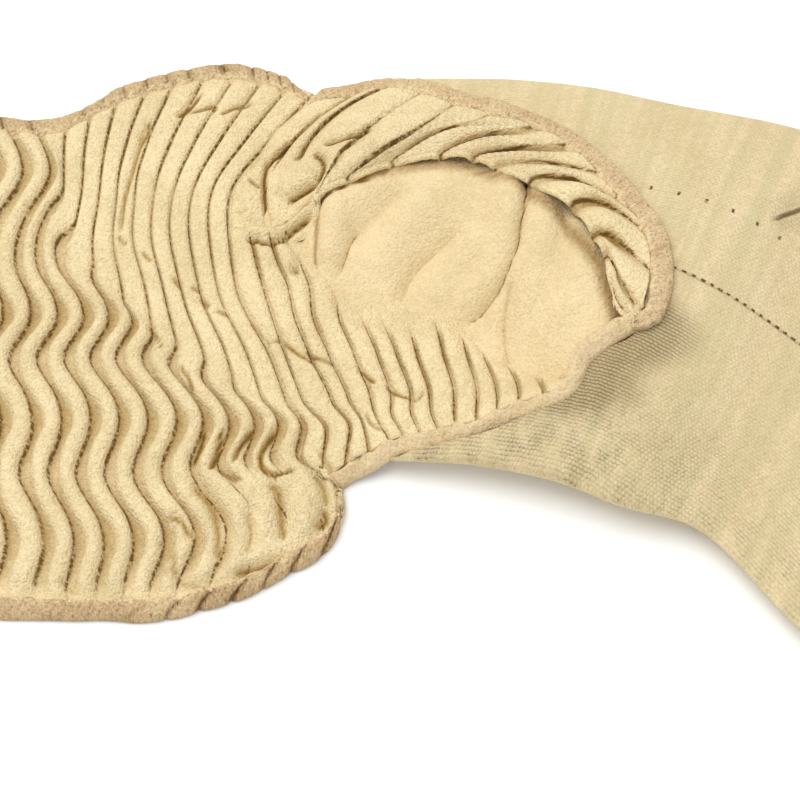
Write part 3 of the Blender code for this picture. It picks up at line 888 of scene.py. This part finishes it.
# Where the ribs of panel, band and gusset run together beside the armhole, the cloth bunches in puffs, with
# shade painted in the creases between them
BUNCH = (
    (-2.6, 4.2, 0, (128, 70, 133, 75, 137, 78)),
    (-3.4, 2.3, 0, (117, 58, 124, 57.5, 129, 58, 133, 61, 138, 65)),
    (-1.6, 3.0, 0, (117, 64, 117, 74, 120, 80)), (-1.2, 2.6, 0, (124, 96, 131, 99, 140, 103)),
    (-1.6, 2.4, 0, (145, 80, 150, 80, 157, 82)),
    (2.8, 1.1, 1.8, (138, 83.5, 140.5, 81, 141.5, 77, 139.5, 72.5)),
    (2.6, 1.1, 1.8, (139.5, 72.5, 137, 71.5, 134, 70, 130.5, 68)),
    (2.4, 1.0, 1.8, (130, 92, 127, 88, 124.5, 86, 123, 84)),
    (2.6, 1.0, 1.8, (123, 86, 122, 80, 122.3, 74, 123, 67, 124.5, 60)),
    (2.6, 1.0, 1.7, (117, 54, 120, 55, 123, 53.2, 128, 54.5, 132, 58, 137.5, 62)),
    (1.4, 1.0, 1.0, (126, 60.5, 130, 61, 134, 65, 137.5, 68)),
    (2.2, 1.0, 1.7, (120, 90, 118, 86, 115, 84)), (1.6, 0.9, 1.4, (117, 80, 119, 77, 121, 76)),
    (1.6, 1.0, 1.2, (135, 88, 134, 85, 132, 83)), (1.2, 1.2, 0.7, (114.5, 66, 117, 67.5)),
    (1.8, 1.3, 1.3, (133, 44, 133.6, 42.5)), (2.0, 1.0, 1.6, (141, 86, 144.5, 85.5, 150, 87, 156, 89.5)),
)


def lay_band(arm, u, v):
    """A band's cloth. u runs round the armhole from the panel, and v from under the crest to the cut edge."""
    rib = spread_columns(BAND_RIBS * u**1.6)
    over = np.clip((v - ROLL) / (1 - ROLL), 0, 1)
    under = np.clip(1 - v / ROLL, 0, 1)
    x, y = band_point(rib, over)
    bunched = falloff(rib, BUNCH_END, 0.8)
    low = bunched * falloff(y, 56, 30)
    base = band_base(rib, x, y) * (1 - 0.65 * low)
    gap = 0.08 + 0.06 * uneven(rib * 8, over * 24, 9, 23) + 0.05 * onset(rib, 5, 3)
    puff, _ = rib_profile(rib + 0.12 * uneven(rib * 9, over * 30, 12, 21), gap, 2.3, 1.5)
    swell = 1 + 0.35 * uneven(rib * 9, over * 20, 9, 22) - 0.45 * onset(over, 0.4, 0.5)
    ending = falloff(rib, BAND_FADE, 0.5)
    at_crest = 1 - smooth_step(over / 0.3)
    relief = BAND_RELIEF * swell * (1 - 0.9 * bunched * falloff(y, 80, 12)) * ending
    relief = relief * (1 - 0.6 * falloff(rib, 5, 2) * at_crest)
    depth, dark = creases(x, y, BUNCH)
    thick = GROOVE + relief * puff - depth * onset(y, 46, 6)
    inner_x, inner_y = across_from(band_point, np.minimum(rib, 13.2), 0.0, -1)
    rolled = under * ROLL_TURN
    size = ROLL_SIZE * onset(rib, 2.2, 0.6) * ending
    scallops = 0.15 + 0.25 * onset(rib, 4.5, 3)
    roll = size * np.sin(rolled) * (1 - scallops * (1 - puff))
    x, y = x + inner_x * roll, y + inner_y * roll
    round_off = 1 - np.sqrt(1 - np.clip(1 - over / 0.16, 0, 1) ** 2)
    z = np.maximum(base + thick - round_off * 1.3 - size * 0.9 * (1 - np.cos(rolled)), RIB_WALL)
    # Shade painted between the puffs, as deep as they stand high
    shade = (1 - puff) * relief / BAND_RELIEF
    return arm[1] * x, y, z, np.maximum(shade, dark), rib + gap * (1 - VALLEY_OUT), y


bands = []
for arm in ARMS:
    name, lay = f"shoulder_band_knit_{arm[0]}", partial(lay_band, arm)
    band = cloth_grid(name, 240, 84, lay, [ribbed_yarn], RIB_WALL)
    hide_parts(f"shoulder_band_{arm[0]}")
    bands.append(band)

# ---------------------------------------------------------------- underarm gussets
# A ribbed gusset is knitted into the lower side of each armhole. Its ribs rise from the soft inside of the
# sleeve to the armhole's rim.

# Columns: groove, inner x, y, middle x, y, rim x, y, rim height. Groove 0 is the last one of the panel
GUSSET = (
    (1, 118, 60, 130, 16, 147, -28, 2), (2, 124, 60, 137, 16, 152, -24, 3),
    (3, 133, 56, 143, 13, 157, -21, 5), (3.5, 139.5, 55, 147, 12, 159, -20, 6),
    (4, 144, 44, 151, 10, 162, -19, 8), (5, 151, 41, 158, 9, 166, -18, 9),
    (6, 157, 38, 164, 8, 171, -18, 10), (7, 166, 35, 170, 7, 176, -17, 11),
    (8, 174, 32, 178, 6, 181, -16, 12), (9, 182, 28, 185, 5, 187, -15, 13),
    (10, 189, 22, 191, 3, 193, -13, 15), (11, 197, 16, 198, 1, 199, -11, 17),
    (12, 204, 12, 205, 0, 206, -10, 20), (13, 210, 9, 211, 1, 212, -7, 23),
    (14, 217, 9, 217, 6, 218, 3, 25), (15, 231, 19, 232, 17, 235, 15, 28),
)
# Where the sleeve's back layer starts to lie under the gusset. Columns: y, x
GUSSET_STEP = ((-30, 146), (0, 138), (14, 131), (30, 117), (60, 112))
STEP_LENGTH = 7
# Short folds where ribs of the panel and of the gusset meet, with shade painted along them
MEETING_FOLDS = (
    (1.4, 0.8, 1.0, (131, 20, 127, 18, 124, 18)),
    (
        1.2, 1.0, 1.4, (130, 18, 135, 13, 140, 10), (137, 14, 141, 11, 145, 9), (153, 7, 156, 3, 158, 1),
        (161, 0, 165, -4, 168, -5),
    ),
    (1.4, 0.8, 1.0, (172, -3, 170, -6, 168, -4)), (1.2, 1.3, 0.7, (134, 46, 132, 43, 134, 41)),
    (1.5, 1.0, 1.0, (155, -9, 157, -13, 160, -15)), (1.5, 1.0, 0.9, (141, -19, 145, -25, 146, -31)),
)
FIRST_TOP, FIRST_FALL = 62, 94  # groove 0 runs down from this y by this much
GUSSET_RIBS = 15
GUSSET_RELIEF = 2.2


def gusset_row(rib):
    """Rows of GUSSET at any groove. Before groove 1 they stay as they are there."""
    return read(GUSSET, np.maximum(rib, 1))


def rim_height(rib):
    """Height of the armhole's lower rim."""
    return gusset_row(rib)[6] * np.clip(rib, 0, 1)


def gusset_point(rib, v):
    """x and y at v along a fold. Groove 0 follows the panel's last one, and the first ribs share its wave."""
    near = np.clip(rib, 0, 1)
    last = np.full(np.shape(rib), float(RIBS))
    x, y = along_fold(gusset_row(rib), v)
    away_from_ends = smooth_step(v * 4) * smooth_step((1 - v) * 5)
    x = x + 1.9 * np.clip(rib - 1, 0, 1) * uneven(rib * 3, y, 13, 35) * away_from_ends
    x = x + falloff(rib, 2, 3) * wave(last, x - 6 * (rib - 1), y)
    side_y = FIRST_TOP - FIRST_FALL * v
    side_x = rib_x(last, side_y)
    side_x = side_x + wave(last, side_x, side_y)
    return side_x + (x - side_x) * near, side_y + (y - side_y) * near


def lay_gusset(arm, u, v):
    """A gusset's cloth. u runs round the armhole from the panel, and v from its inner end to the rim."""
    rib = spread_columns(u * GUSSET_RIBS)
    x, y = gusset_point(rib, v)
    past_step = x - read(GUSSET_STEP, y)[0]
    floor = SLEEVE_WALL * smooth_step(past_step / STEP_LENGTH)
    lower = np.where(past_step > STEP_LENGTH, sleeve_layers(x, y)[0] + SLEEVE_WALL, 0)
    base = np.maximum(floor + (rim_height(rib) - floor) * v**1.5, lower)
    gap = 0.12 + 0.05 * uneven(rib * 8, y, 12, 32)
    profile, _ = rib_profile(rib, gap, 2.6)
    inside = onset(rib, 2.5, 1.5)
    late = 0.02 + 0.09 * inside * (1 + uneven(rib * 6, 0 * rib, 7, 34))
    fade = smooth_step((v - late) / (0.06 + 0.18 * inside))
    at_rim = 1 - 0.6 * onset(v, 0.85, 0.15)
    relief = GUSSET_RELIEF * fade * at_rim * (1 + 0.2 * uneven(rib * 7, v * 40, 14, 31))
    depth, dark = creases(x, y, MEETING_FOLDS + BUNCH)
    sink = inside * 1.5 * (1 - smooth_step(v / 0.12))
    z = base + GROOVE - sink + np.maximum(relief * profile - depth, -1.1 * (1 - inside))
    # Shade painted between the ribs, unevenly
    shade = (1 - profile) * fade * (0.7 + 0.45 * uneven(rib * 7, y, 12, 33))
    return arm[1] * x, y, z, np.maximum(shade, dark), rib + gap * (1 - VALLEY_OUT), y


gussets = []
for arm in ARMS:
    name, lay = f"underarm_gusset_knit_{arm[0]}", partial(lay_gusset, arm)
    gusset = cloth_grid(name, 240, 64, lay, [ribbed_yarn], RIB_WALL)
    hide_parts(f"underarm_gusset_{arm[0]}")
    gussets.append(gusset)

# ---------------------------------------------------------------- overlocked edges
# Every cut edge is bound by an overlock stitch: close loops of pinkish beige thread that wrap over the edge a
# little on the slant, with small dark gaps between them. The knit puckers under the thread, so the neck edge
# and the hem's ends lie in short puffs with nicks between them.

STITCH = 1.5  # length of a stitch
EDGE_COLUMN = 0.42  # length of a column of the grid along an edge
LAP_ROWS = 0.12  # share of the grid's rows that lap over the cloth inside
# Columns: width, thickness, lap over the cloth inside, drop of the outer side, taper of the far end, then
# length of the puffs, their slant, depth of the nicks, darkness of the shade painted in them, x where they
# are full
EDGES = {
    "neck": (EDGE_WIDTH + 0.3, 2.2, 2.2, 0.9, 9, 8, 0.3, 0.8, 1.3, 0),
    "hem": (EDGE_WIDTH + 0.3, 2.2, 1.2, 0.9, 4, 10, 0.7, 1.2, 1.6, 115),
    "armhole": (EDGE_WIDTH + 1.5, 2.2, 0.9, 0.0, 5, 6, 0.2, 0.4, 0.3, 0),
    "underarm": (EDGE_WIDTH - 0.4, 1.9, 1.2, 2.2, 4, 16, 0.3, 0.3, 0.2, 0),
}

# The deep colours of the threads are for the shade painted between their loops and in the nicks, and for
# their dark specks and strokes
overlock_colours = paint(222, 197, 156), paint(198, 169, 128), paint(126, 90, 48)
overlock_yarn = yarn_material(
    "overlock_thread", overlock_colours, 0.7, 0.3, line=groove_shade_brown, inner_side=paint(234, 213, 170)
)
outer_colours = paint(213, 188, 146), paint(187, 158, 117), paint(110, 76, 38)
outer_yarn = yarn_material(
    "outer_thread", outer_colours, 0.7, 0.3, line=groove_shade_brown, inner_side=paint(230, 209, 165)
)
rim_colours = paint(228, 205, 163), paint(209, 184, 143), paint(150, 116, 74)
rim_yarn = yarn_material("rim_thread", rim_colours, 0.6, 0.3)


def even_steps(points_at, start, end):
    """Values of a path's own parameter at equal steps of its length, and that length."""
    values = np.linspace(start, end, 600)
    x, y = points_at(values)
    run = np.concatenate(([0], np.cumsum(np.hypot(np.diff(x), np.diff(y)))))
    return (lambda share: np.interp(share * run[-1], run, values)), run[-1]


def overlock(kind, name, node, last, line_at, out_at, base_at, yarn, first=0.0):
    """A bound edge of a kind in EDGES, from its first to its last rib. line_at gives its inner side, out_at
    the way out across it, and base_at the height it lies at."""
    width, thick, lap, drop, taper, puff_length, slant, nick_depth, nick_shade, full_at = EDGES[kind]
    value_at, length = even_steps(line_at, first, last)

    def lay(u, v):
        value = value_at(u)
        way = u * length
        x, y = line_at(value)
        out_x, out_y = out_at(value)
        ends = smooth_step(way / 6) * smooth_step((1 - u) * length / taper)
        # Puffs of cloth, with a nick between each two
        puff_place = way / puff_length + 1.1 * uneven(way, 0 * u, 2.4 * puff_length, 46) + slant * v
        puff = np.abs(np.sin(math.pi * puff_place)) ** 0.6
        nick = (1 - puff) ** 1.6 * (0.6 + 0.7 * uneven(way, v * 5, 9, 47)) * smooth_step(v / 0.3)
        nick = nick * (0.3 + 0.7 * smooth_step((np.abs(x) - full_at + 25) / 25))
        wobble = 0.7 * uneven(way, 0 * u, 9, 41) - nick_depth * nick
        inner_end = lap + uneven(way, 0 * u, 3.5, 48)
        reach = v * (width * (0.3 + 0.7 * ends) + wobble) - inner_end * (1 - v)
        x, y = x + out_x * reach, y + out_y * reach
        # A flat roll of cloth, wrapped in loops of thread
        across = 2 * (v - LAP_ROWS) / (1 - LAP_ROWS) - 1
        body = np.sqrt(np.maximum(1 - np.clip(across, -1, 1) ** 4, 0))
        loop_place = way + 1.2 * uneven(way, 0 * u, 5, 44)
        loops = np.abs(np.sin(math.pi * (loop_place / STITCH + 1.6 * v)))
        rough = 0.3 * loops + 0.35 * uneven(way, v * 6, 1.2, 42)
        full = thick * (0.5 + 0.5 * ends) * (1 - 0.3 * nick_depth * nick)
        z = base_at(value, x, y) + 0.4 + (full + rough) * body - drop * v**2
        specks = np.maximum(uneven(way, v * 8, 1.3, 43) - 0.25, 0)
        specks = specks * (0.3 + 0.3 * uneven(way, v, 14, 45))
        # Shade painted in the gaps between the loops and in the nicks, with the thread's dark specks
        groove = (0.5 * (1 - loops) ** 2 + specks + nick_shade * nick) * ends
        return x, y, z, groove, way, v * width

    item = cloth_grid(name, int(length / EDGE_COLUMN), 14, lay, [yarn], 1.0)
    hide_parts(node)
    return item


def panel_line(side):
    """The inner side of the neck's overlock, or of the hem's where side is -1."""

    def line_at(rib):
        neck, hem = panel_ends(rib)
        y = (neck if side > 0 else hem) - side * EDGE_WIDTH
        x = rib_x(rib, y)
        return x + wave(rib, x, y), y

    return line_at


def outer_ends(point_at, way, sign):
    """The line through the outer ends of one arm's ribs, and the direction out across it."""

    def line_at(rib):
        x, y = point_at(rib, 1.0)
        return sign * x, y

    def out_at(rib):
        x, y = across_from(point_at, rib, 1.0, way)
        return sign * x, y

    return line_at, out_at


for kind, side in (("neck", 1), ("hem", -1)):
    overlock(
        kind, f"{kind}_edge_stitching", f"{kind}_edge", RIBS, panel_line(side),
        lambda rib, side=side: (0 * rib, side + 0 * rib), lambda rib, x, y: 1.2 + 0 * rib, outer_yarn, -RIBS,
    )

for (side, sign, _), band, gusset in zip(ARMS, bands, gussets):
    band_edge = overlock(
        "armhole", f"armhole_edge_stitching_{side}", f"armhole_edge_{side}", 14,
        *outer_ends(band_point, 1, sign),
        lambda rib, x, y, sign=sign: band_base(rib, sign * x, y), overlock_yarn, 0.1,
    )
    gusset_edge = overlock(
        "underarm", f"underarm_edge_stitching_{side}", f"underarm_edge_{side}", GUSSET_RIBS,
        *outer_ends(gusset_point, -1, sign), lambda rib, x, y: rim_height(rib), rim_yarn,
    )

# ---------------------------------------------------------------- cuffs
# Each sleeve ends in a ribbed cuff of thicker elastic knit with a turned end.

CUFF_WALL = 2.2
CUFF_RIBS = 58
CUFF_RELIEF = 0.7
CUFF_LAP = 2  # how far the cuff laps over the sleeve's end
cuff_colours = paint(234, 216, 174), paint(221, 201, 156), paint(168, 140, 88)
cuff_yarn = yarn_material("cuff_yarn", cuff_colours, 0.4)


def lay_cuff(arm, u, v):
    """A cuff's cloth. u runs round the wrist, and v towards the hand."""
    angle = math.tau * (u - 0.5)
    along = CUFF_START - CUFF_LAP + (CUFF_END - CUFF_START + CUFF_LAP) * v
    x, y, z = sleeve_point(along, angle, arm, 0.98)
    ribs = np.abs(np.sin(math.pi * CUFF_RIBS * u))
    front = smooth_step(np.sin(angle) * 4)
    stand = CUFF_RELIEF * ribs * np.sin(angle) * front
    lip = 0.8 * bell(v - 0.93, 0.05) * front
    # Shade painted between the cuff's ribs
    return x, y, z + stand + lip, (1 - ribs) * 0.8, CUFF_RIBS * u, along


for arm in ARMS:
    name, lay = f"cuff_knit_{arm[0]}", partial(lay_cuff, arm)
    cuff = cloth_grid(name, 6 * CUFF_RIBS, 12, lay, [cuff_yarn], CUFF_WALL, seam=True)
    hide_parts(f"cuff_{arm[0]}")
